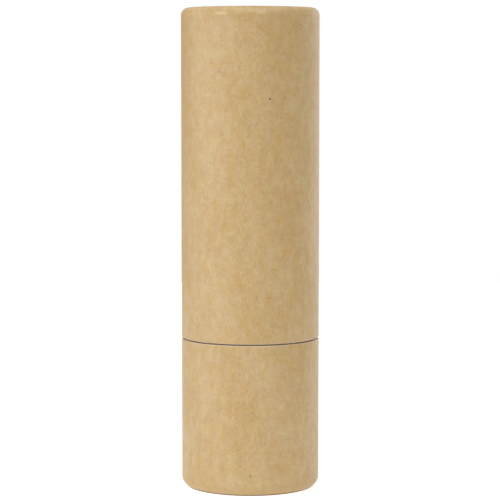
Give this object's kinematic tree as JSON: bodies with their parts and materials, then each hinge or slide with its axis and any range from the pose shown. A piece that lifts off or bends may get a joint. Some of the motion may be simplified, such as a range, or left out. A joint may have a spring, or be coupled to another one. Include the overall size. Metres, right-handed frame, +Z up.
{
  "type": "lip balm stick",
  "caption": "Closed twist-up balm stick: a kraft paper tube with a pull-off cap over a short base, holding a slotted swivel mechanism and a slanted wax stick.",
  "frame": {"origin": "centre of the bottom rim, on the plane that the stick stands on", "axes": "+Z up along the stick, from the base to the cap; +X through one lug of the carrier; the paper wraps close at +Y, at the back"},
  "size_m": [0.02, 0.02, 0.0695],
  "materials": {
    "kraft_paper": "matt unprinted brown kraft paper with fine fibres",
    "wound_board": "matt grey-brown wound board, knife-cut at the edge",
    "liner_plastic": "moulded natural polypropylene, satin",
    "body_plastic": "moulded white plastic, satin",
    "spiral_plastic": "moulded pale grey acetal, satin",
    "neck_metal": "thin drawn shell, satin anodised",
    "carrier_plastic": "moulded ivory plastic, satin",
    "balm_wax": "cast pale yellow wax balm with a soft sheen"
  },
  "bodies": {
    "base": {"base_wrap": "kraft_paper", "base_tube": "wound_board", "base_end_disc": "kraft_paper", "base_insert": "liner_plastic", "inner_body": "body_plastic"},
    "neck": {"spiral_sleeve": "spiral_plastic", "neck_shell": "neck_metal"},
    "carrier": {"carrier": "carrier_plastic", "balm": "balm_wax"},
    "cap": {"cap_wrap": "kraft_paper", "cap_tube": "wound_board", "cap_end_disc": "kraft_paper", "cap_liner": "liner_plastic"}
  },
  "joints": [
    {"name": "neck_twist", "type": "hinge", "parent": "base", "child": "neck", "pos_m": [0, 0, 0.0275], "axis": [0, 0, -1], "range_deg": [0, 540]},
    {"name": "carrier_lift", "type": "slide", "parent": "base", "child": "carrier", "axis": [0, 0, 1], "range_m": [0, 0.02054]},
    {"name": "cap_pull", "type": "slide", "parent": "neck", "child": "cap", "axis": [0, 0, 1], "range_m": [0, 0.046]}
  ],
  "couplings": [
    {"joint": "carrier_lift", "follows": "neck_twist", "m_per_rad": 0.002179}
  ]
}
